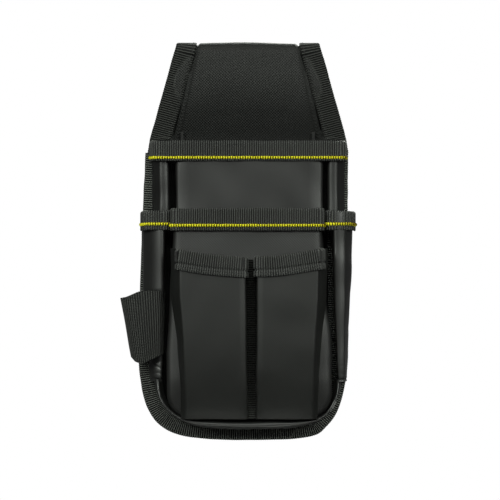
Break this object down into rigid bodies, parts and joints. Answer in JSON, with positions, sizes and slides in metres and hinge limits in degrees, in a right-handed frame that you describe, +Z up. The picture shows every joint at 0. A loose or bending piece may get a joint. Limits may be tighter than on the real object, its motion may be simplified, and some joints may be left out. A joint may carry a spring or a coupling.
{
  "type": "electrician tool pouch",
  "caption": "Belt-hung fabric tool pouch with a tapered hanger, stacked bound pockets, side tool tubes and a webbing tool loop.",
  "frame": {"origin": "centre of the belt tunnel, on the belt's own centre line", "axes": "+X to the right as seen by someone facing the pouch, +Y towards the wearer, +Z up as worn"},
  "size_m": [0.1643, 0.0593, 0.2775],
  "materials": {
    "oxford_fabric": "fine plain weave, matt",
    "coated_fabric": "fine grain, coated, slight sheen",
    "webbing": "ribbed webbing, matt",
    "yellow_stripe": "woven stripe, matt",
    "lining": "plain weave, matt",
    "board": "pressed sheet, matt",
    "thread": "sewing thread"
  },
  "bodies": {
    "hanger": {"hanger_panel": "oxford_fabric", "hanger_binding_left": "webbing", "hanger_binding_right": "webbing", "tunnel_bar_tacks": "thread"},
    "pouch_body": {"back_fabric": "oxford_fabric", "stiffener_board": "board", "back_lining": "lining", "perimeter_binding": "webbing", "bottom_gusset": "coated_fabric", "upper_pocket_front": "coated_fabric", "upper_mouth_band": "webbing", "upper_stripe": "yellow_stripe", "lower_pocket_front": "coated_fabric", "lower_band_centre": "webbing", "lower_stripe_centre": "yellow_stripe", "upper_pleat_right": "coated_fabric", "upper_pleat_left": "coated_fabric", "tool_tube_right": "coated_fabric", "tool_tube_left": "coated_fabric", "lower_band_right": "webbing", "lower_band_left": "webbing", "lower_stripe_right": "yellow_stripe", "lower_stripe_left": "yellow_stripe", "small_pocket_left": "coated_fabric", "small_pocket_right": "coated_fabric", "small_band_left": "webbing", "small_band_right": "webbing", "divider_tape": "webbing", "pocket_bar_tacks": "thread", "tool_loop": "webbing"}
  },
  "joints": [
    {"name": "hanger_flex", "type": "hinge", "parent": "hanger", "child": "pouch_body", "pos_m": [0, -0.0054, -0.0369], "axis": [-1, 0, 0], "range_deg": [0, 45]}
  ]
}
